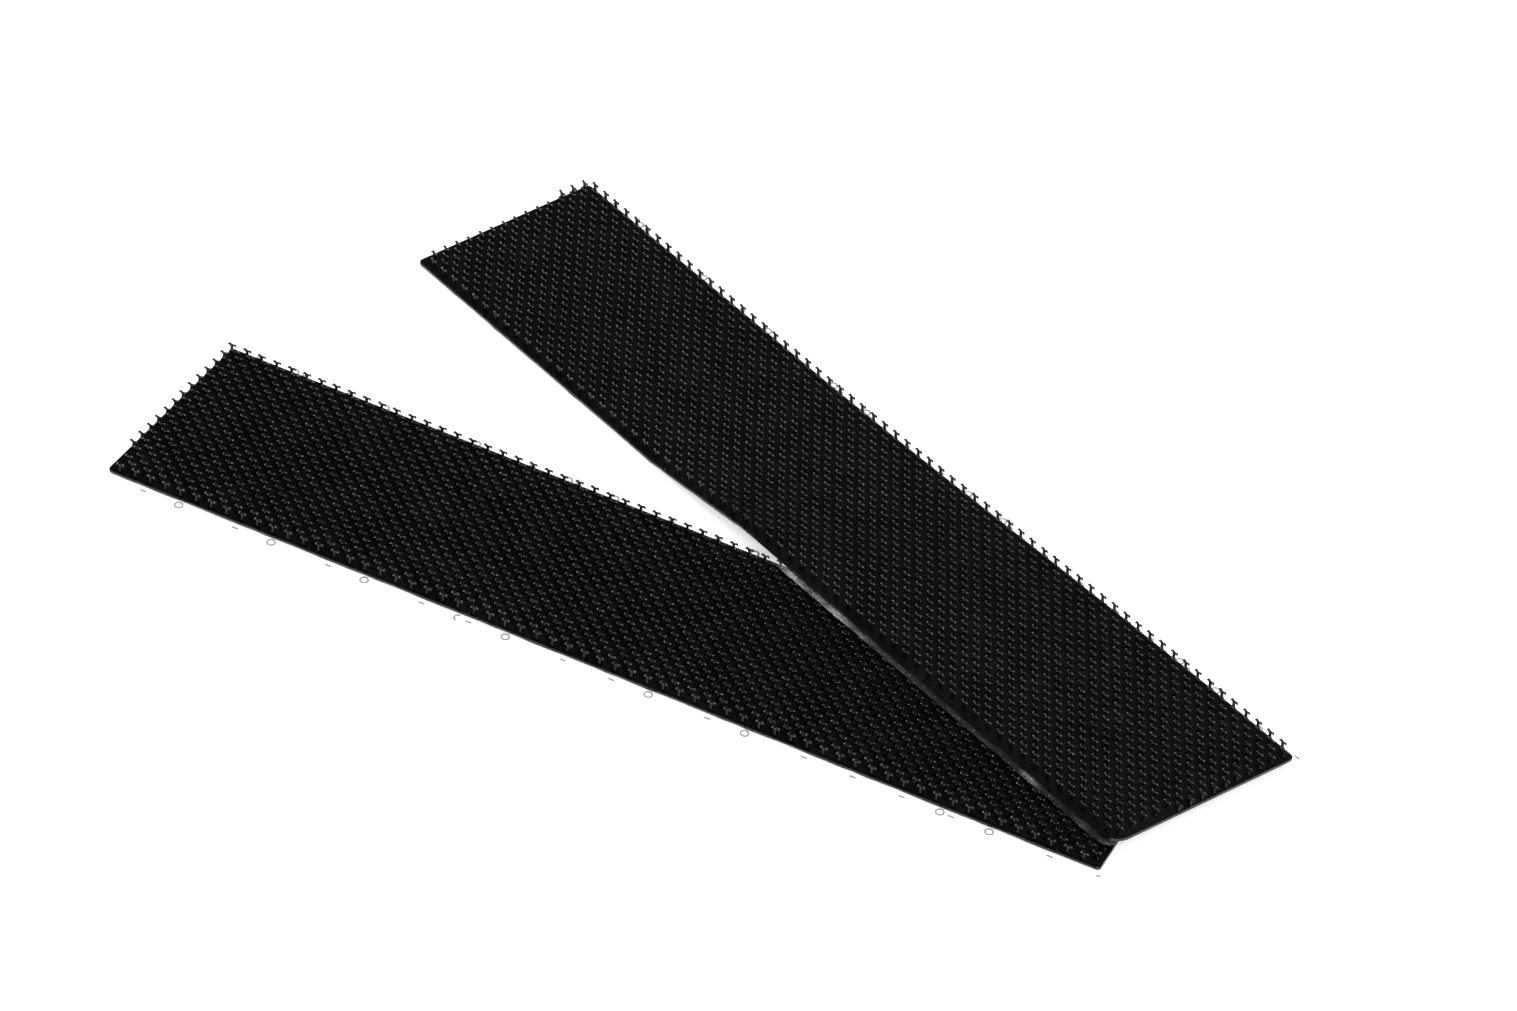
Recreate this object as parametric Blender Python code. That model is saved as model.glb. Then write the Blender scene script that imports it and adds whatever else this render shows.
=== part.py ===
"""Two self-adhesive hook strips, one lying across the other.

Each strip is a moulded hook tape with a layer of adhesive under it, on a clear
release liner that stands out a little past the tape. The lower strip lies flat.
The upper strip starts on the table beside it, rises, and rests on its hooks.
One end of each strip is cut a little off square.

A strip is drawn in its own coordinates: X runs along it, Y across it and Z up,
with the tape's corner at the origin. An empty then carries it to its place.
"""

import math

import bmesh
import bpy
from mathutils import Matrix, Vector

MM = 0.001

# One strip, flat.
STRIP_LENGTH = 88.9 * MM
STRIP_WIDTH = 19.05 * MM
CORNER_RADIUS = 0.4 * MM
ROUNDED_CORNER_RADIUS = 1.8 * MM

LINER_THICKNESS = 0.05 * MM
LINER_OVERHANG_END = 0.3 * MM
# The liner is wider than the tape, which isn't centred on it: how far it stands
# out beyond Y = 0 and beyond Y = STRIP_WIDTH.
LOWER_LINER_OVERHANGS = (1.0 * MM, 1.3 * MM)
UPPER_LINER_OVERHANGS = (0.55 * MM, 1.75 * MM)
ADHESIVE_THICKNESS = 0.10 * MM
BASE_THICKNESS = 0.20 * MM
LAYER_GAP = 0.015 * MM

# The hooks stand in rows along the strip. One rib stands for each row.
ROW_COUNT = 30
ROW_SPACING = 0.631 * MM
ROW_THICKNESS = 0.20 * MM
ROW_END_INSET = 0.3 * MM
HOOK_HEIGHT = 0.82 * MM

LINER_BOTTOM = 0.0
ADHESIVE_BOTTOM = LINER_BOTTOM + LINER_THICKNESS + LAYER_GAP
BASE_BOTTOM = ADHESIVE_BOTTOM + ADHESIVE_THICKNESS + LAYER_GAP
STRIP_THICKNESS = BASE_BOTTOM + BASE_THICKNESS + HOOK_HEIGHT

# One end of each strip is cut a little off square. These are the shifts of that
# end along the strip, at Y = 0 and at Y = STRIP_WIDTH.
LOWER_CUT_SHIFTS = (-0.50 * MM, 0.69 * MM)
UPPER_CUT_SHIFTS = (-0.70 * MM, 0.31 * MM)
CUT_ZONE = 2.0 * MM

# Where the upper strip's corner lies beside the lower strip's, and which way it points.
UPPER_CORNER = Vector((8.5 * MM, 37.8 * MM, 0.0))
CROSSING_ANGLE = math.radians(-24.0)

# The upper strip leaves the table at RISE_START along it, all the way across.
# It is at its full height by RISE_END_LEFT on one side and RISE_END_RIGHT on
# the other, just before it passes over the lower strip's long edge.
UPPER_LIFT = STRIP_THICKNESS + 0.02 * MM
RISE_START = 30.0 * MM
RISE_END_LEFT = 45.2 * MM
RISE_END_RIGHT = 84.2 * MM

# Cuts across each sheet of the upper strip, so that it can bend.
BEND_CUTS_ALONG = 35
BEND_CUTS_ACROSS = 8

COLORS = {
    "hook_plastic": ((0.010, 0.010, 0.011, 1.0), 0.38),
    "adhesive": ((0.55, 0.52, 0.44, 1.0), 0.45),
    "liner_film": ((0.86, 0.87, 0.86, 1.0), 0.18),
}


def clear_scene():
    for obj in list(bpy.data.objects):
        bpy.data.objects.remove(obj, do_unlink=True)


def material(name):
    """The named finish, made the first time it is asked for."""
    found = bpy.data.materials.get(name)
    if found:
        return found
    color, roughness = COLORS[name]
    made = bpy.data.materials.new(name)
    made.use_nodes = True
    shader = made.node_tree.nodes["Principled BSDF"]
    shader.inputs["Base Color"].default_value = color
    shader.inputs["Roughness"].default_value = roughness
    shader.inputs["Metallic"].default_value = 0.0
    made.diffuse_color = color
    return made


def rise(along, across):
    """How far the upper strip is off the table at a point of it."""
    share_across = across / STRIP_WIDTH
    rise_end = RISE_END_LEFT + (RISE_END_RIGHT - RISE_END_LEFT) * share_across
    step = (along - RISE_START) / (rise_end - RISE_START)
    step = min(max(step, 0.0), 1.0)
    return UPPER_LIFT * step * step * (3.0 - 2.0 * step)


def cut(bm, place, normal):
    bmesh.ops.bisect_plane(
        bm, geom=bm.verts[:] + bm.edges[:] + bm.faces[:], dist=1e-9,
        plane_co=place, plane_no=normal,
    )


def slab(bottom, thickness, near_left_radius, overhang_end=0.0, overhang_sides=(0.0, 0.0)):
    """A flat sheet with round corners. The corner at the far end of X and at Y = 0 has its own radius."""
    bm = bmesh.new()
    bmesh.ops.create_cube(bm, size=1.0)
    low_side, high_side = -overhang_sides[0], STRIP_WIDTH + overhang_sides[1]
    size = Vector((STRIP_LENGTH + 2 * overhang_end, high_side - low_side, thickness))
    middle = Vector((STRIP_LENGTH / 2, (low_side + high_side) / 2, bottom + thickness / 2))
    bmesh.ops.scale(bm, vec=size, verts=bm.verts)
    bmesh.ops.translate(bm, vec=middle, verts=bm.verts)

    upright = [edge for edge in bm.edges if abs(edge.verts[0].co.z - edge.verts[1].co.z) > thickness / 2]
    for edge in upright:
        foot = edge.verts[0].co
        own_radius = foot.x > middle.x and foot.y < middle.y
        bmesh.ops.bevel(
            bm, geom=[edge], offset=near_left_radius if own_radius else CORNER_RADIUS,
            offset_type="OFFSET", segments=5 if own_radius else 3, profile=0.5, affect="EDGES",
            clamp_overlap=False,
        )
    return bm


def add_bend_cuts(bm):
    """The same grid of cuts in every sheet, so that bent sheets stay parallel."""
    for index in range(BEND_CUTS_ALONG + 1):
        cut(bm, (STRIP_LENGTH * index / BEND_CUTS_ALONG, 0, 0), (1, 0, 0))
    for index in range(BEND_CUTS_ACROSS + 1):
        cut(bm, (0, STRIP_WIDTH * index / BEND_CUTS_ACROSS, 0), (0, 1, 0))


def row_middle(index):
    return STRIP_WIDTH / 2 + (index - (ROW_COUNT - 1) / 2) * ROW_SPACING


def raise_rows(bm, corner_keep_out):
    """Pulls one rib out of the sheet's top for each row of hooks."""
    top = BASE_BOTTOM + BASE_THICKNESS
    first = ROW_END_INSET
    last = STRIP_LENGTH - ROW_END_INSET
    cut(bm, (first, 0, 0), (1, 0, 0))
    cut(bm, (last, 0, 0), (1, 0, 0))
    sides = []
    for index in range(ROW_COUNT):
        low = row_middle(index) - ROW_THICKNESS / 2
        high = row_middle(index) + ROW_THICKNESS / 2
        cut(bm, (0, low, 0), (0, 1, 0))
        cut(bm, (0, high, 0), (0, 1, 0))
        sides.append((low, high))

    def in_a_row(face):
        middle = face.calc_center_median()
        if face.normal.z < 0.9 or middle.z < top - LAYER_GAP or not first < middle.x < last:
            return False
        if middle.x > STRIP_LENGTH - corner_keep_out and middle.y < corner_keep_out:
            return False
        return any(low < middle.y < high for low, high in sides)

    bm.normal_update()
    crests = [face for face in bm.faces if in_a_row(face)]
    raised = bmesh.ops.extrude_face_region(bm, geom=crests)
    lifted = [item for item in raised["geom"] if isinstance(item, bmesh.types.BMVert)]
    bmesh.ops.translate(bm, vec=(0, 0, HOOK_HEIGHT), verts=lifted)
    bmesh.ops.delete(bm, geom=[face for face in crests if face.is_valid], context="FACES_ONLY")


def slant_the_cut(bm, upper):
    """Shifts the cut end's points along the strip: the far end of the lower strip, the near end of the upper."""
    at_low_side, at_high_side = UPPER_CUT_SHIFTS if upper else LOWER_CUT_SHIFTS
    for vert in bm.verts:
        from_end = STRIP_LENGTH - vert.co.x if upper else vert.co.x
        if from_end < CUT_ZONE:
            vert.co.x += at_low_side + (at_high_side - at_low_side) * vert.co.y / STRIP_WIDTH


def bend(bm):
    for vert in bm.verts:
        vert.co.z += rise(vert.co.x, vert.co.y)


def finish(bm, name, finish_name, strip, collection):
    bmesh.ops.triangulate(bm, faces=bm.faces[:], quad_method="SHORT_EDGE")
    bmesh.ops.recalc_face_normals(bm, faces=bm.faces[:])
    mesh = bpy.data.meshes.new(name)
    bm.to_mesh(mesh)
    bm.free()
    mesh.materials.append(material(finish_name))
    obj = bpy.data.objects.new(name, mesh)
    obj.parent = strip
    collection.objects.link(obj)
    return obj


def release_liner(prefix, strip, collection, upper, corner_radius):
    bm = slab(
        LINER_BOTTOM, LINER_THICKNESS, corner_radius + (LINER_OVERHANG_END if upper else 0.0),
        LINER_OVERHANG_END, UPPER_LINER_OVERHANGS if upper else LOWER_LINER_OVERHANGS,
    )
    if upper:
        add_bend_cuts(bm)
        bend(bm)
    slant_the_cut(bm, upper)
    return finish(bm, prefix + "_release_liner", "liner_film", strip, collection)


def adhesive_layer(prefix, strip, collection, upper, corner_radius):
    bm = slab(ADHESIVE_BOTTOM, ADHESIVE_THICKNESS, corner_radius)
    if upper:
        add_bend_cuts(bm)
        bend(bm)
    slant_the_cut(bm, upper)
    return finish(bm, prefix + "_adhesive_layer", "adhesive", strip, collection)


def hook_tape(prefix, strip, collection, upper, corner_radius):
    bm = slab(BASE_BOTTOM, BASE_THICKNESS, corner_radius)
    if upper:
        add_bend_cuts(bm)
    keep_out = STRIP_LENGTH / BEND_CUTS_ALONG if upper else 0.0
    raise_rows(bm, keep_out)
    if upper:
        bend(bm)
    slant_the_cut(bm, upper)
    return finish(bm, prefix + "_hook_tape", "hook_plastic", strip, collection)


def strip_at(prefix, matrix, collection, upper):
    """A whole strip: an empty at its corner, and its layers on that empty."""
    empty = bpy.data.objects.new(prefix + "_strip", None)
    empty.empty_display_size = 5 * MM
    empty.matrix_world = matrix
    collection.objects.link(empty)
    corner_radius = ROUNDED_CORNER_RADIUS if upper else CORNER_RADIUS
    for make in (release_liner, adhesive_layer, hook_tape):
        make(prefix, empty, collection, upper, corner_radius)
    return empty


def centre_on_the_origin(strips):
    """Moves the strips so that the box around both has its middle above the origin."""
    bpy.context.view_layer.update()
    points = [
        layer.matrix_world @ vert.co
        for strip in strips for layer in strip.children for vert in layer.data.vertices
    ]
    for axis in (0, 1):
        places = [point[axis] for point in points]
        middle = (min(places) + max(places)) / 2
        for strip in strips:
            strip.location[axis] -= middle


def main():
    clear_scene()
    collection = bpy.data.collections.new("hook_strip_pair")
    bpy.context.scene.collection.children.link(collection)

    upper_in_lower = Matrix.Translation(UPPER_CORNER) @ Matrix.Rotation(CROSSING_ANGLE, 4, "Z")
    lower = strip_at("lower", Matrix.Identity(4), collection, upper=False)
    upper = strip_at("upper", upper_in_lower, collection, upper=True)
    centre_on_the_origin((lower, upper))


main()
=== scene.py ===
"""Looks for a pair of self-adhesive hook strips, the upper one lying across the lower one.

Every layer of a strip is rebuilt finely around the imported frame: the release liner with its loose
edges, the cloudy adhesive, the moulded base film, and each single hook. A strip is drawn in its own
coordinates, s along it, w across it and z up, in metres, and its matrix carries it to its place.
"""

import math
from collections import namedtuple

import bpy
import numpy as np
from mathutils import Matrix, Vector


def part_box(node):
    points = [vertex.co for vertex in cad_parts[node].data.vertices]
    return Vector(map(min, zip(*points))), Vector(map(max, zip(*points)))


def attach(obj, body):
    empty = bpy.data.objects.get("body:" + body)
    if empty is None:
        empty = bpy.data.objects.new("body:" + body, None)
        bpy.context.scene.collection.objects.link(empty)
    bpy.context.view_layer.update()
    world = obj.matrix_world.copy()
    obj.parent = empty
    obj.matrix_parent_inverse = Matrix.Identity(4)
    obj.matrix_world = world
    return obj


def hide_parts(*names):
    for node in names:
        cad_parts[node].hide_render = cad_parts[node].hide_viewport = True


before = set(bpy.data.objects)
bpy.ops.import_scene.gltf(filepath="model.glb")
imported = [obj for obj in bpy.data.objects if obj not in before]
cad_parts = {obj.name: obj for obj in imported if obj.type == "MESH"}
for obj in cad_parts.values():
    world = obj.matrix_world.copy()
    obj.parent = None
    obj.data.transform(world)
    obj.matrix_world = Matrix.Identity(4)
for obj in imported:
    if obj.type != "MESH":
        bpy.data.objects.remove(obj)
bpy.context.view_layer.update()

MM = 0.001

# ---------------------------------------------------------------- the strips, as in the CAD
# The upper strip's corner and turn are relative to the lower strip. It leaves the table at RISE_START,
# and is at its full height by RISE_END_LEFT at w = 0 and by RISE_END_RIGHT at w = WIDTH.
LENGTH = 88.9 * MM
WIDTH = 19.05 * MM
CORNER_RADIUS = 0.4 * MM
ROUNDED_CORNER_RADIUS = 1.8 * MM
LINER_END = 0.3 * MM
ROW_COUNT = 30
ROW_SPACING = 0.631 * MM
CUT_ZONE = 2.0 * MM
UPPER_CORNER = Vector((8.5 * MM, 37.8 * MM, 0.0))
CROSSING_ANGLE = math.radians(-24.0)
UPPER_LIFT = 1.22 * MM
RISE_START = 30.0 * MM
RISE_END_LEFT = 45.2 * MM
RISE_END_RIGHT = 84.2 * MM

# Bottom and top of each layer, and how soft its rim is.
LINER_Z = (0.0, 0.05 * MM)
LINER_RIM = 0.012 * MM
ADHESIVE_Z = (0.056 * MM, 0.176 * MM)
ADHESIVE_RIM = 0.02 * MM
BASE_Z = (0.18 * MM, 0.38 * MM)
BASE_RIM = 0.035 * MM

# How fine the sheets are: points across, and the step along.
POINTS_ACROSS = 28
LINER_POINTS_ACROSS = 44
STEP_ALONG = 0.5 * MM
FILM_SHARP_ANGLE = 30
HOOK_SHARP_ANGLE = 60

# ---------------------------------------------------------------- the hooks
HOOK_PITCH = 1.424 * MM
ROW_BANDS = ("near", "middle", "far")
ROWS_IN_A_BAND = ROW_COUNT // len(ROW_BANDS)
HOOK_CLEAR_OF_CUT = 0.20 * MM
HOOK_CLEAR_OF_CORNER = 0.30 * MM
# Right half of a hook seen from the side, from its foot up round the arm to the notch
# between the arms: distance from the middle, height above the film, half thickness.
HOOK_HALF = (
    (0.250, -0.030, 0.150), (0.170, 0.050, 0.128), (0.125, 0.160, 0.112), (0.105, 0.340, 0.106),
    (0.104, 0.500, 0.104), (0.140, 0.610, 0.103), (0.205, 0.668, 0.102), (0.275, 0.666, 0.098),
    (0.318, 0.622, 0.090), (0.354, 0.604, 0.084), (0.384, 0.636, 0.088), (0.392, 0.692, 0.094),
    (0.380, 0.745, 0.100), (0.346, 0.790, 0.104), (0.306, 0.812, 0.106), (0.262, 0.820, 0.107),
    (0.218, 0.812, 0.107), (0.178, 0.790, 0.106), (0.095, 0.735, 0.105), (0.000, 0.705, 0.105),
)
# The edges are worn to a shallow facet: how deep it cuts the outline, and how wide it is.
FACET_DEPTH = 0.018
FACET_WIDTH = 0.055
# How far an arm reaches from the middle, and the height above which the arms begin.
ARM_REACH = 0.39
ARMS_FROM = 0.5
# Between these heights a hook's gloss grows from its moulded stem's to its worn crest's.
CREST_FROM = 0.73
CREST_TO = 0.815
# The arm on the +s side sags further, as a share of its reach, and is thinner at its tip.
SECOND_ARM_DROOP = 0.12
SECOND_ARM_THINNING = 0.25
# How much single hooks differ: size, lean, place, and how far each arm sags as a share of DROOP_REACH.
SIZE_SPREAD = 0.014
LEAN_SPREAD = 0.010
PLACE_SPREAD = 0.010 * MM
DROOP_SPREAD = 0.04
DROOP_REACH = 0.4 * MM
# Over this distance the slope under a hook is measured.
SLOPE_STEP = 0.05 * MM

# cut_shifts are the slanted end's shifts along the strip at w = 0 and at w = WIDTH, and overhangs how
# far the liner stands out there. first_row is where the first row of hooks lies across, first_hook where
# its hooks begin along, and row_shift how far each row is shifted from the one before.
Strip = namedtuple(
    "Strip", "prefix matrix upper cut_shifts overhangs first_row first_hook row_shift corner_radius"
)


def strips():
    """Both strips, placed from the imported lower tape."""
    low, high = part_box("lower_hook_tape")
    corner = Vector((high.x - LENGTH, low.y, low.z - BASE_Z[0]))
    lower_matrix = Matrix.Translation(corner)
    turn = Matrix.Rotation(CROSSING_ANGLE, 4, "Z")
    return (
        Strip("lower", lower_matrix, upper=False,
              cut_shifts=(-0.50 * MM, 0.69 * MM), overhangs=(1.0 * MM, 1.3 * MM),
              first_row=0.338 * MM, first_hook=0.534 * MM, row_shift=0.748 * MM,
              corner_radius=CORNER_RADIUS),
        Strip("upper", lower_matrix @ Matrix.Translation(UPPER_CORNER) @ turn, upper=True,
              cut_shifts=(-0.70 * MM, 0.31 * MM), overhangs=(0.55 * MM, 1.75 * MM),
              first_row=0.587 * MM, first_hook=1.395 * MM, row_shift=0.722 * MM,
              corner_radius=ROUNDED_CORNER_RADIUS),
    )


def rise(strip, s, w):
    """How far the strip is off the table."""
    if not strip.upper:
        return np.zeros_like(s)
    end = RISE_END_LEFT + (RISE_END_RIGHT - RISE_END_LEFT) * w / WIDTH
    step = np.clip((s - RISE_START) / (end - RISE_START), 0.0, 1.0)
    return UPPER_LIFT * step * step * (3.0 - 2.0 * step)


def cut_shift(strip, w):
    """Shift of the slanted end along the strip."""
    at_low_side, at_high_side = strip.cut_shifts
    return at_low_side + (at_high_side - at_low_side) * w / WIDTH


def placed(strip, s, w, z):
    """Points of a flat strip, with its end cut slanting and its drape."""
    from_end = LENGTH - s if strip.upper else s
    # The liner reaches a little past the tape's end, where the share is above 1.
    near_cut = np.clip(1.0 - from_end / CUT_ZONE, 0.0, 1.2)
    return np.stack([s + cut_shift(strip, w) * near_cut, w, z + rise(strip, s, w)], axis=-1)


RIPPLE_WAVES = 6
RIPPLE_SHORTENING = 0.83
RIPPLE_FADING = 0.5
RIPPLE_PEAK = 2.2


def ripple(s, seed, longest):
    """Smooth irregular values from about -1 to 1 along s: the longest wave and ever shorter, fainter ones."""
    rng = np.random.default_rng(seed)
    total = np.zeros_like(s)
    for order in range(RIPPLE_WAVES):
        wave = longest / (1.0 + order * RIPPLE_SHORTENING)
        total += np.sin(2 * math.pi * (s / wave + rng.random())) / (1.0 + order * RIPPLE_FADING)
    return total / RIPPLE_PEAK


# ---------------------------------------------------------------- meshes

def add_mesh(name, points, faces, strip, sharp_angle):
    mesh = bpy.data.meshes.new(name)
    mesh.from_pydata(points.reshape(-1, 3).tolist(), [], faces)
    mesh.update()
    mesh.shade_smooth()
    mesh.set_sharp_from_angle(angle=math.radians(sharp_angle))
    obj = bpy.data.objects.new(name, mesh)
    bpy.context.scene.collection.objects.link(obj)
    obj.matrix_world = strip.matrix
    return obj


def span_across(s, s_low, s_high, w_low, w_high, radii):
    """Where the sheet starts and ends across, at s.

    radii are the corners' at (start low, start high, end low, end high).
    """
    def inset(distance, radius):
        reach = np.clip(radius - distance, 0.0, radius)
        return radius - np.sqrt(np.maximum(radius * radius - reach * reach, 0.0))
    low = w_low + np.maximum(inset(s - s_low, radii[0]), inset(s_high - s, radii[2]))
    high = w_high - np.maximum(inset(s - s_low, radii[1]), inset(s_high - s, radii[3]))
    return low, high


def film(name, strip, z_range, end, sides, rim, shape=None, across=POINTS_ACROSS):
    """A thin sheet with round corners and a soft rim, as a closed fine mesh.

    end and sides say how far it stands out beyond the tape. shape moves its points.
    """
    s_low, s_high = -end, LENGTH + end
    w_low, w_high = -sides[0], WIDTH + sides[1]
    own = strip.corner_radius + (end if strip.upper else 0.0)
    radii = (CORNER_RADIUS, CORNER_RADIUS, own, CORNER_RADIUS)
    near_end = max(radii) * (1 - np.cos(np.linspace(0, math.pi / 2, 12)))
    small = CORNER_RADIUS * (1 - np.cos(np.linspace(0, math.pi / 2, 6)))
    close = np.unique(np.round(np.concatenate([near_end, small]), 7))
    middle = np.linspace(close[-1], s_high - s_low - close[-1], int((s_high - s_low) / STEP_ALONG))
    offsets = np.concatenate([close[:-1], middle, (s_high - s_low) - close[:-1][::-1]])
    share = offsets / (s_high - s_low)
    v = 0.5 - 0.5 * np.cos(np.linspace(0, math.pi, across)) if shape else np.linspace(0, 1, across)

    def layer(inset, z):
        s = s_low + inset + share * (s_high - s_low - 2 * inset)
        low, high = span_across(
            s, s_low + inset, s_high - inset, w_low + inset, w_high - inset,
            [max(r - inset, 1e-6) for r in radii],
        )
        w = low[:, None] + (high - low)[:, None] * v[None, :]
        s = np.repeat(s[:, None], across, axis=1)
        dw, dz = shape(s, w) if shape else (0.0, 0.0)
        return placed(strip, s, w + dw, np.full_like(s, z) + dz)

    rows = len(share)
    low_z, high_z = z_range
    layers = [layer(rim, high_z), layer(0.0, high_z - rim), layer(0.0, low_z + rim), layer(rim, low_z)]
    size = rows * across
    index = np.arange(size).reshape(rows, across)
    ring = np.concatenate([index[:, 0], index[-1, 1:], index[-2::-1, -1], index[0, -2:0:-1]])
    following = np.roll(ring, -1)
    a, b, c, d = index[:-1, :-1], index[1:, :-1], index[1:, 1:], index[:-1, 1:]
    top = np.stack([a, b, c, d], axis=-1).reshape(-1, 4)
    flats = [layers[0].reshape(-1, 3), layers[1].reshape(-1, 3)[ring],
             layers[2].reshape(-1, 3)[ring], layers[3].reshape(-1, 3)]
    ring_size = len(ring)
    here = np.arange(ring_size)
    after = np.roll(here, -1)
    one, two, bottom = size, size + ring_size, size + 2 * ring_size
    sides_faces = [
        np.stack([one + here, one + after, following, ring], axis=-1),
        np.stack([two + here, two + after, one + after, one + here], axis=-1),
        np.stack([bottom + ring, bottom + following, two + after, two + here], axis=-1),
    ]
    faces = np.concatenate([top, *sides_faces, top[:, ::-1] + bottom]).tolist()
    return add_mesh(name, np.concatenate(flats), faces, strip, FILM_SHARP_ANGLE)


def hook_template():
    """Points (n, 3) in metres and faces of one hook, standing on the film with its arms along s."""
    right = np.array(HOOK_HALF)
    left = right[-2::-1] * (-1, 1, 1)
    on_the_arm = np.clip(right[:, 0] / ARM_REACH, 0.0, 1.0) * (right[:, 1] > ARMS_FROM)
    right[:, 2] *= 1.0 - SECOND_ARM_THINNING * on_the_arm
    outline = np.concatenate([right, left])
    count = len(outline)
    before, after = np.roll(outline, 1, axis=0)[:, :2], np.roll(outline, -1, axis=0)[:, :2]
    along = after - before
    inward = np.stack([-along[:, 1], along[:, 0]], axis=1)
    inward /= np.linalg.norm(inward, axis=1)[:, None]
    inset = outline[:, :2] + inward * FACET_DEPTH
    half = outline[:, 2]
    sections = (
        (inset, -half), (outline[:, :2], FACET_WIDTH - half),
        (outline[:, :2], half - FACET_WIDTH), (inset, half),
    )
    points = np.concatenate([np.stack([xz[:, 0], y, xz[:, 1]], axis=1) for xz, y in sections]) * MM
    faces = [list(range(count)), list(range(4 * count - 1, 3 * count - 1, -1))]
    for section in range(3):
        for k in range(count):
            m = (k + 1) % count
            a, b = section * count, (section + 1) * count
            faces.append([a + m, a + k, b + k, b + m])
    return points, faces


def hook_places(strip, rows):
    """(s, w) of each hook of some rows. Each row is shifted by about half a pitch from the one before."""
    found = []
    for row in rows:
        w = strip.first_row + row * ROW_SPACING
        phase = (strip.first_hook + row * strip.row_shift) % HOOK_PITCH
        shift = cut_shift(strip, w)
        first = (0.0 if strip.upper else shift) + HOOK_CLEAR_OF_CUT
        last = LENGTH + (shift if strip.upper else 0.0) - HOOK_CLEAR_OF_CUT
        for index in range(int(LENGTH / HOOK_PITCH) + 1):
            s = phase + index * HOOK_PITCH
            to_end, radius = LENGTH - s, strip.corner_radius
            in_corner = to_end < radius and w < radius
            off_centre = math.hypot(radius - to_end, radius - w)
            if first < s < last and not (in_corner and off_centre > radius - HOOK_CLEAR_OF_CORNER):
                found.append((s, w))
    return np.array(found)


def hooks(name, strip, rows, seed):
    """Some rows of hooks as one mesh."""
    template, faces = hook_template()
    places = hook_places(strip, rows)
    count = len(places)
    rng = np.random.default_rng(seed)
    size = 1.0 + rng.normal(0.0, SIZE_SPREAD, (count, 1, 1))
    lean = rng.normal(0.0, LEAN_SPREAD, (count, 2))
    jitter = rng.normal(0.0, PLACE_SPREAD, (count, 2))
    droop = rng.normal(0.0, DROOP_SPREAD, (count, 2)) - (SECOND_ARM_DROOP, 0.0)
    points = template[None] * size
    x, y, z = points[..., 0], points[..., 1], points[..., 2]
    # Each arm sags or lifts a little by itself, more towards its tip.
    reach = np.clip(np.abs(x) / DROOP_REACH, 0.0, 1.0) ** 2 * (z > ARMS_FROM * MM)
    side = np.where(x > 0, droop[:, :1], droop[:, 1:])
    z = z + side * reach * DROOP_REACH
    x = x + lean[:, :1] * z
    y = y + lean[:, 1:] * z
    s, w = places[:, 0] + jitter[:, 0], places[:, 1] + jitter[:, 1]
    ground = rise(strip, s, w)
    slope_s = ((rise(strip, s + SLOPE_STEP, w) - ground) / SLOPE_STEP)[:, None]
    slope_w = ((rise(strip, s, w + SLOPE_STEP) - ground) / SLOPE_STEP)[:, None]
    world = np.stack([
        s[:, None] + x - z * slope_s,
        w[:, None] + y - z * slope_w,
        ground[:, None] + BASE_Z[1] + z + x * slope_s + y * slope_w,
    ], axis=-1)
    step = len(template)
    all_faces = [[v + step * k for v in face] for k in range(count) for face in faces]
    made = add_mesh(name, world, all_faces, strip, HOOK_SHARP_ANGLE)
    crest = np.clip((template[:, 2] / MM - CREST_FROM) / (CREST_TO - CREST_FROM), 0.0, 1.0)
    values = made.data.attributes.new("crest", "FLOAT", "POINT").data
    values.foreach_set("value", np.tile(crest, count).astype(np.float32))
    return made


# ---------------------------------------------------------------- materials

def nodes_of(name):
    """A new material, its tree and shader, and the object's coordinates in millimetres."""
    made = bpy.data.materials.new(name)
    made.use_nodes = True
    tree = made.node_tree
    shader = tree.nodes["Principled BSDF"]
    place = tree.nodes.new("ShaderNodeTexCoord")
    scale = tree.nodes.new("ShaderNodeMapping")
    scale.inputs["Scale"].default_value = (1.0 / MM, 1.0 / MM, 1.0 / MM)
    tree.links.new(place.outputs["Object"], scale.inputs["Vector"])
    return made, tree, shader, scale.outputs["Vector"]


def stretched(tree, vector, stretch):
    node = tree.nodes.new("ShaderNodeMapping")
    node.inputs["Scale"].default_value = stretch
    tree.links.new(vector, node.inputs["Vector"])
    return node.outputs["Vector"]


def noise(tree, vector, scale, detail, roughness=0.55):
    node = tree.nodes.new("ShaderNodeTexNoise")
    node.inputs["Scale"].default_value = scale
    node.inputs["Detail"].default_value = detail
    node.inputs["Roughness"].default_value = roughness
    tree.links.new(vector, node.inputs["Vector"])
    return node.outputs["Fac"]


def ramp(tree, value, *stops):
    """A colour ramp. Each stop is (position, colour or grey level)."""
    node = tree.nodes.new("ShaderNodeValToRGB")
    band = node.color_ramp
    while len(band.elements) < len(stops):
        band.elements.new(0.5)
    for element, (position, colour) in zip(band.elements, stops):
        element.position = position
        element.color = (colour,) * 3 + (1.0,) if isinstance(colour, float) else (*colour, 1.0)
    tree.links.new(value, node.inputs["Fac"])
    return node.outputs["Color"]


def math_node(tree, operation, a, b=None):
    node = tree.nodes.new("ShaderNodeMath")
    node.operation = operation
    for socket, value in zip(node.inputs, (a, b)):
        if isinstance(value, (int, float)):
            socket.default_value = value
        elif value is not None:
            tree.links.new(value, socket)
    return node.outputs["Value"]


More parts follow.
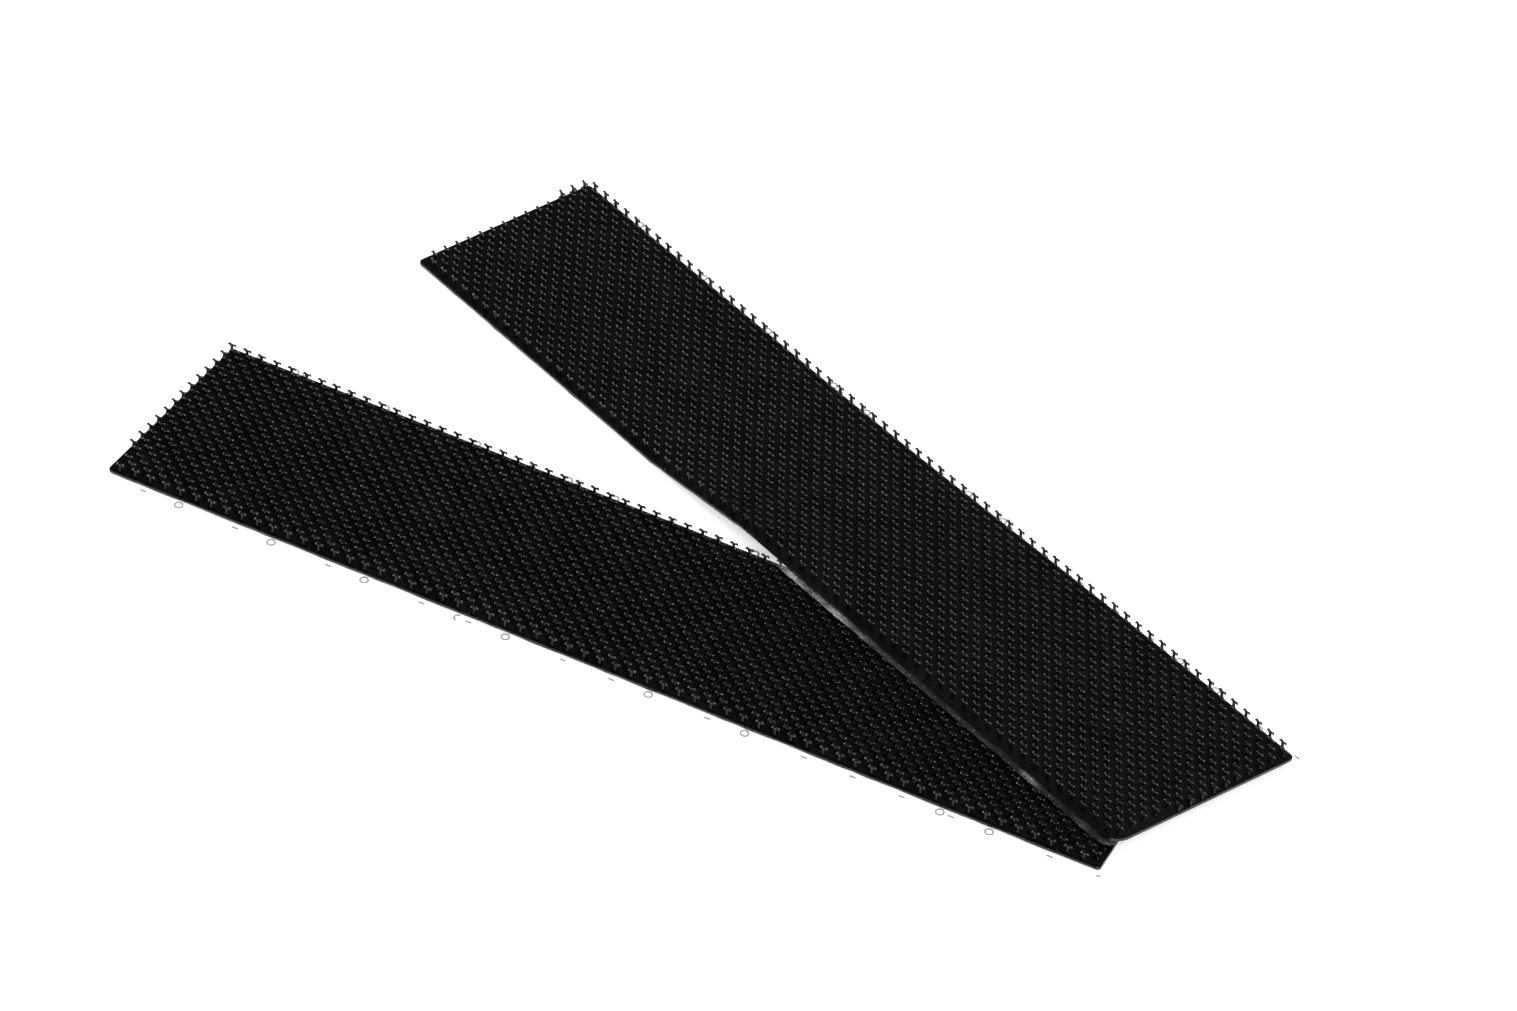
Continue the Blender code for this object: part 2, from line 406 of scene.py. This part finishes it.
def mixed(tree, factor, a, b):
    """Colour a, or b where factor is 1."""
    node = tree.nodes.new("ShaderNodeMix")
    node.data_type = "RGBA"
    for name, value in (("Factor_Float", factor), ("A_Color", a), ("B_Color", b)):
        socket = next(i for i in node.inputs if i.identifier == name)
        if hasattr(value, "is_output"):
            tree.links.new(value, socket)
        else:
            socket.default_value = (*value, 1.0)
    return next(o for o in node.outputs if o.identifier == "Result_Color")


def bumped(tree, shader, height, distance, strength):
    node = tree.nodes.new("ShaderNodeBump")
    node.inputs["Distance"].default_value = distance
    node.inputs["Strength"].default_value = strength
    tree.links.new(height, node.inputs["Height"])
    tree.links.new(node.outputs["Normal"], shader.inputs["Normal"])


def hook_plastic(name, dark, light, rough, specular, grain_depth, stem_specular=None):
    """Black moulded plastic: uneven gloss, faint lines along the rows and a few pale specks of lint.

    stem_specular is the duller gloss of a hook below its worn crest.
    """
    made, tree, shader, at = nodes_of(name)
    cloud = noise(tree, at, 0.35, 4.0)
    grain = noise(tree, at, 9.0, 2.0)
    lines = noise(tree, stretched(tree, at, (0.5, 9.0, 1.0)), 1.0, 2.0)
    colour = ramp(tree, cloud, (0.35, dark), (0.68, light))
    specks = ramp(tree, noise(tree, at, 2.6, 1.0, 0.4), (0.745, 0.0), (0.78, 1.0))
    colour = mixed(tree, math_node(tree, "MULTIPLY", specks, 0.35), colour, (0.055, 0.055, 0.054))
    tree.links.new(colour, shader.inputs["Base Color"])
    gloss = ramp(tree, math_node(tree, "ADD", math_node(tree, "MULTIPLY", grain, 0.5),
                                 math_node(tree, "MULTIPLY", cloud, 0.5)),
                 (0.35, rough * 0.75), (0.65, rough * 1.33))
    tree.links.new(gloss, shader.inputs["Roughness"])
    if stem_specular is None:
        shader.inputs["Specular IOR Level"].default_value = specular
    else:
        crest = tree.nodes.new("ShaderNodeAttribute")
        crest.attribute_name = "crest"
        shine = ramp(tree, crest.outputs["Fac"], (0.0, stem_specular), (1.0, specular))
        tree.links.new(shine, shader.inputs["Specular IOR Level"])
    height = math_node(tree, "ADD", math_node(tree, "MULTIPLY", lines, 0.6),
                       math_node(tree, "MULTIPLY", grain, 0.4))
    bumped(tree, shader, height, grain_depth, 0.6)
    return made


def adhesive():
    """Cloudy tacky layer with small bubbles."""
    made, tree, shader, at = nodes_of("adhesive")
    cloud = noise(tree, at, 0.6, 4.0)
    bubbles = ramp(tree, noise(tree, at, 5.0, 1.0), (0.60, 0.0), (0.70, 1.0))
    colour = ramp(tree, cloud, (0.30, (0.018, 0.016, 0.013)), (0.70, (0.075, 0.066, 0.050)))
    colour = mixed(tree, bubbles, colour, (0.16, 0.155, 0.14))
    tree.links.new(colour, shader.inputs["Base Color"])
    tree.links.new(ramp(tree, cloud, (0.3, 0.32), (0.7, 0.60)), shader.inputs["Roughness"])
    shader.inputs["Specular IOR Level"].default_value = 0.5
    bumped(tree, shader, bubbles, 0.02 * MM, 0.8)
    return made


# The marks printed on a liner, in millimetres: one ring or dash in each cell along it, a little
# outside the tape's edge.
MARK_CELL = 4.3
MARKS_FROM_MIDDLE = 9.95
RING_RADIUS, RING_HALF_LINE = 0.33, 0.08
DASH_BESIDE_RING, DASH_HALF_LENGTH, DASH_HALF_LINE = 0.95, 0.28, 0.09
RINGS_ABOVE, DASHES_BELOW = 0.53, 0.56
MARK_STRENGTH = 0.85
MARK_GREY = (0.25, 0.27, 0.28)


def liner_film(name, clear, milk_and_glint_opacity, milk_and_glint_stretches, both_sides):
    """Thin clear film, cloudy in patches, with generic grey marks printed along one edge or both.

    Its least and greatest opacity come first, then how cloudy it is along its length, as (share of
    the length, strength); on the upper liner, short whitish spots there are painted glints.
    """
    made, tree, shader, at = nodes_of(name)
    patches = noise(tree, stretched(tree, at, (0.30, 0.8, 1.0)), 0.7, 5.0, 0.62)
    creases = noise(tree, stretched(tree, at, (1.2, 3.0, 1.0)), 2.2, 5.0, 0.7)
    colour = ramp(tree, patches, (0.35, (0.50, 0.54, 0.58)), (0.65, (0.74, 0.75, 0.73)))
    split = tree.nodes.new("ShaderNodeSeparateXYZ")
    tree.links.new(at, split.inputs["Vector"])
    share = math_node(tree, "DIVIDE", split.outputs["X"], LENGTH / MM)
    # Milkiness along the film; on the upper liner the short whitish spots are painted glints.
    milk_and_glint = math_node(tree, "MULTIPLY", ramp(tree, share, *milk_and_glint_stretches),
                     ramp(tree, patches, (0.42, 0.12), (0.60, 1.0)))
    milk_and_glint = math_node(tree, "MULTIPLY", milk_and_glint, ramp(tree, creases, (0.42, 0.15), (0.60, 1.0)))
    opacity = math_node(tree, "ADD", clear, math_node(tree, "MULTIPLY", milk_and_glint, milk_and_glint_opacity - clear))
    # The marks: small rings and dashes, one of them in each cell of a slow pattern along the film.
    along = math_node(tree, "DIVIDE", split.outputs["X"], MARK_CELL)
    cell = math_node(tree, "SUBTRACT", math_node(tree, "FRACT", along), 0.5)
    from_middle = math_node(tree, "MULTIPLY", cell, MARK_CELL)
    edge = math_node(tree, "SUBTRACT", split.outputs["Y"], WIDTH / MM / 2)
    if both_sides:
        edge = math_node(tree, "ABSOLUTE", edge)
    from_line = math_node(tree, "SUBTRACT", edge, MARKS_FROM_MIDDLE)
    radius = math_node(tree, "SQRT", math_node(
        tree, "ADD", math_node(tree, "MULTIPLY", from_middle, from_middle),
        math_node(tree, "MULTIPLY", from_line, from_line)))
    ring = math_node(tree, "LESS_THAN", math_node(
        tree, "ABSOLUTE", math_node(tree, "SUBTRACT", radius, RING_RADIUS)), RING_HALF_LINE)
    beside = math_node(tree, "ABSOLUTE", math_node(tree, "SUBTRACT", from_middle, DASH_BESIDE_RING))
    on_its_line = math_node(tree, "LESS_THAN", math_node(tree, "ABSOLUTE", from_line), DASH_HALF_LINE)
    dash = math_node(tree, "MULTIPLY", math_node(tree, "LESS_THAN", beside, DASH_HALF_LENGTH), on_its_line)
    choice = noise(tree, stretched(tree, at, (0.23, 0.02, 0.0)), 1.0, 0.0)
    ring = math_node(tree, "MULTIPLY", ring, math_node(tree, "GREATER_THAN", choice, RINGS_ABOVE))
    dash = math_node(tree, "MULTIPLY", dash, math_node(tree, "LESS_THAN", choice, DASHES_BELOW))
    mark = math_node(tree, "MULTIPLY", math_node(tree, "MAXIMUM", ring, dash), MARK_STRENGTH)
    tree.links.new(mixed(tree, mark, colour, MARK_GREY), shader.inputs["Base Color"])
    tree.links.new(math_node(tree, "MAXIMUM", opacity, mark), shader.inputs["Alpha"])
    tree.links.new(ramp(tree, creases, (0.35, 0.12), (0.65, 0.34)), shader.inputs["Roughness"])
    shader.inputs["Specular IOR Level"].default_value = 0.6
    bumped(tree, shader, creases, 0.04 * MM, 0.7)
    return made


def stage_paint(name, glow):
    """Even pale paint. The stage gives off a little light itself, so shadows stay faint."""
    made, tree, shader, at = nodes_of(name)
    paint = ramp(tree, noise(tree, at, 0.02, 2.0), (0.3, (0.70, 0.70, 0.70)), (0.7, (0.72, 0.72, 0.72)))
    tree.links.new(paint, shader.inputs["Base Color"])
    shader.inputs["Roughness"].default_value = 0.85
    shader.inputs["Specular IOR Level"].default_value = 0.2
    shader.inputs["Emission Color"].default_value = (1.0, 1.0, 1.0, 1.0)
    shader.inputs["Emission Strength"].default_value = glow
    return made


# ---------------------------------------------------------------- the pieces

UNEVEN_CUT = 0.03 * MM
ADHESIVE_SHORTFALL = 0.05 * MM
ADHESIVE_EDGE_ZONE = 2 * MM


def liner_shape(strip, seed, lift):
    """The liner's free edges ripple up and down and aren't cut dead straight."""
    def shape(s, w):
        beyond_low = np.clip(-w / strip.overhangs[0], 0.0, 1.0)
        beyond_high = np.clip((w - WIDTH) / strip.overhangs[1], 0.0, 1.0)
        up_low = ripple(s, seed, 31 * MM) * 0.5 + 0.5
        up_high = ripple(s, seed + 1, 27 * MM) * 0.5 + 0.5
        dz = lift * (up_low * beyond_low ** 2 + up_high * beyond_high ** 2)
        cut_low = ripple(s, seed + 2, 6 * MM) * beyond_low
        cut_high = ripple(s, seed + 3, 7 * MM) * beyond_high
        return UNEVEN_CUT * (cut_low + cut_high), dz
    return shape


def adhesive_shape(seed):
    """The adhesive stops a little short of the tape's edge, unevenly."""
    def shape(s, w):
        low_side = np.clip(1.0 - w / ADHESIVE_EDGE_ZONE, 0.0, 1.0)
        high_side = np.clip(1.0 - (WIDTH - w) / ADHESIVE_EDGE_ZONE, 0.0, 1.0)
        dw = low_side * (1.0 + ripple(s, seed, 9 * MM))
        dw -= high_side * (1.0 + ripple(s, seed + 1, 8 * MM))
        return ADHESIVE_SHORTFALL * dw, 0.0
    return shape


def dress(obj, finish, body, node):
    obj.data.materials.append(finish)
    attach(obj, body)
    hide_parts(node)


lower, upper = strips()
# How much milkiness the upper liner has along its length: most where it first lies over the lower strip. The
# short whitish spots at 0.665, 0.885 and 0.952 of its length are painted glints.
UPPER_MILK_AND_GLINT_STRETCHES = (
    (0.00, 0.25), (0.42, 0.40), (0.50, 0.70), (0.54, 0.20), (0.56, 0.90), (0.62, 0.75), (0.645, 0.10),
    (0.665, 0.45), (0.68, 0.06), (0.87, 0.03), (0.885, 0.45), (0.90, 0.03), (0.94, 0.03), (0.952, 0.35),
    (0.965, 0.04), (1.00, 0.10),
)
# Each strip's black, darkest and lightest. Both strips are the same plastic; the upper strip's lighter,
# warmer black is painted sheen.
LOWER_BLACK = (0.0016, 0.0018, 0.0020), (0.0030, 0.0033, 0.0036)
UPPER_BLACK_WITH_PAINTED_SHEEN = (0.0026, 0.0025, 0.0023), (0.0044, 0.0043, 0.0039)
HOOK_GRAIN = 0.018 * MM
FILM_GRAIN = 0.004 * MM
HOOK_FINISHES = {
    "lower": hook_plastic("hook_plastic_lower", *LOWER_BLACK, rough=0.24, specular=1.0,
                          grain_depth=HOOK_GRAIN, stem_specular=0.22),
    # The upper strip's hooks and base film take its lighter black, which is painted sheen.
    "upper": hook_plastic("hook_plastic_upper", *UPPER_BLACK_WITH_PAINTED_SHEEN, rough=0.27, specular=0.70,
                          grain_depth=HOOK_GRAIN, stem_specular=0.18),
}
FILM_FINISHES = {
    "lower": hook_plastic("base_film_lower", *LOWER_BLACK, rough=0.16, specular=0.40, grain_depth=FILM_GRAIN),
    "upper": hook_plastic("base_film_upper", *UPPER_BLACK_WITH_PAINTED_SHEEN, rough=0.16, specular=0.40, grain_depth=FILM_GRAIN),
}
LINERS = {
    "lower": liner_film("liner_film_lower", clear=0.03, milk_and_glint_opacity=0.12,
                        milk_and_glint_stretches=((0.0, 0.6), (1.0, 1.0)), both_sides=True),
    "upper": liner_film("liner_film_upper", clear=0.010, milk_and_glint_opacity=0.46,
                        milk_and_glint_stretches=UPPER_MILK_AND_GLINT_STRETCHES, both_sides=False),
}
ADHESIVE = adhesive()
# Each strip with its seed and how far its liner's free edges lift.
for strip, seed, lift in ((lower, 11, 0.05 * MM), (upper, 41, 0.06 * MM)):
    prefix = strip.prefix
    liner = film(prefix + "_liner", strip, LINER_Z, LINER_END, strip.overhangs, LINER_RIM,
                 liner_shape(strip, seed, lift), LINER_POINTS_ACROSS)
    dress(liner, LINERS[prefix], prefix + "_liner", prefix + "_release_liner")
    glue = film(prefix + "_adhesive", strip, ADHESIVE_Z, 0.0, (0.0, 0.0), ADHESIVE_RIM,
                adhesive_shape(seed + 7))
    dress(glue, ADHESIVE, prefix + "_tape", prefix + "_adhesive_layer")
    base = film(prefix + "_base_film", strip, BASE_Z, 0.0, (0.0, 0.0), BASE_RIM)
    dress(base, FILM_FINISHES[prefix], prefix + "_tape", prefix + "_hook_tape")
    for index, band in enumerate(ROW_BANDS):
        rows = range(index * ROWS_IN_A_BAND, (index + 1) * ROWS_IN_A_BAND)
        crop = hooks(prefix + "_hooks_" + band + "_rows", strip, rows, seed + 20 + index)
        dress(crop, HOOK_FINISHES[prefix], prefix + "_tape", prefix + "_hook_tape")


# ---------------------------------------------------------------- floor, light and camera

FLOOR_HALF = 1.6
FLOOR_DEPTH = 0.01 * MM
FLOOR_GLOW = 0.60
BACKDROP_GLOW = 0.80
BACKDROP_RADIUS = 1.5
BACKDROP_BOTTOM = -0.02 * MM
BACKDROP_HEIGHT = 0.32
BACKDROP_FACES = 64


def flat_floor():
    half = FLOOR_HALF
    corners = [(-half, -half, 0), (half, -half, 0), (half, half, 0), (-half, half, 0)]
    mesh = bpy.data.meshes.new("floor")
    mesh.from_pydata(corners, [], [(0, 1, 2, 3)])
    mesh.materials.append(stage_paint("floor_paint", FLOOR_GLOW))
    obj = bpy.data.objects.new("floor", mesh)
    bpy.context.scene.collection.objects.link(obj)
    obj.location.z = -FLOOR_DEPTH


def backdrop():
    """A low pale wall all round, behind the floor's far parts."""
    count = BACKDROP_FACES
    turns = [2 * math.pi * k / count for k in range(count)]
    points = [(BACKDROP_RADIUS * math.cos(t), BACKDROP_RADIUS * math.sin(t), z)
              for z in (BACKDROP_BOTTOM, BACKDROP_HEIGHT) for t in turns]
    faces = [(k, count + k, count + (k + 1) % count, (k + 1) % count) for k in range(count)]
    mesh = bpy.data.meshes.new("backdrop")
    mesh.from_pydata(points, [], faces)
    mesh.materials.append(stage_paint("backdrop_paint", BACKDROP_GLOW))
    obj = bpy.data.objects.new("backdrop", mesh)
    bpy.context.scene.collection.objects.link(obj)


def soft_light(name, place, size, power, colour=(1.0, 1.0, 1.0)):
    """A round lamp that points at the origin."""
    data = bpy.data.lights.new(name, "AREA")
    data.shape = "DISK"
    data.size = size
    data.energy = power
    data.color = colour
    obj = bpy.data.objects.new(name, data)
    bpy.context.scene.collection.objects.link(obj)
    obj.location = place
    obj.rotation_euler = (-Vector(place)).to_track_quat("-Z", "Y").to_euler()


WORLD_STRENGTH = 0.03

flat_floor()
backdrop()
world = bpy.data.worlds.new("studio")
world.use_nodes = True
world.node_tree.nodes["Background"].inputs["Color"].default_value = (1.0, 1.0, 1.0, 1.0)
world.node_tree.nodes["Background"].inputs["Strength"].default_value = WORLD_STRENGTH
bpy.context.scene.world = world
soft_light("overhead", (-0.06, 0.13, 1.0), 0.24, 10.0)
soft_light("fill", (0.35, -0.40, 0.60), 0.5, 4.0, (0.97, 0.98, 1.0))
bpy.context.scene.view_settings.view_transform = "Standard"

# The camera, placed from the lower tape's corner: it looks down across the strips, a little rolled.
CAMERA_FROM_CORNER = Vector((193.072 * MM, -367.401 * MM, 362.49 * MM))
CAMERA_AZIMUTH = math.radians(20.3994)
CAMERA_DOWN = math.radians(40.8783)
CAMERA_ROLL = math.radians(7.7766)
CAMERA_LENS = 158.533


def camera():
    data = bpy.data.cameras.new("camera")
    data.sensor_width = 36.0
    data.lens = CAMERA_LENS
    data.clip_start, data.clip_end = 0.01, 10.0
    obj = bpy.data.objects.new("camera", data)
    bpy.context.scene.collection.objects.link(obj)
    a, e, r = CAMERA_AZIMUTH, CAMERA_DOWN, CAMERA_ROLL
    level = Vector((-math.sin(a), math.cos(a), 0.0))
    right = Vector((math.cos(a), math.sin(a), 0.0))
    ahead = level * math.cos(e) - Vector((0, 0, math.sin(e)))
    up = level * math.sin(e) + Vector((0, 0, math.cos(e)))
    rolled_right = right * math.cos(r) + up * math.sin(r)
    rolled_up = up * math.cos(r) - right * math.sin(r)
    turn = Matrix((rolled_right, rolled_up, -ahead)).transposed().to_4x4()
    obj.matrix_world = Matrix.Translation(lower.matrix.translation + CAMERA_FROM_CORNER) @ turn
    bpy.context.scene.camera = obj


camera()
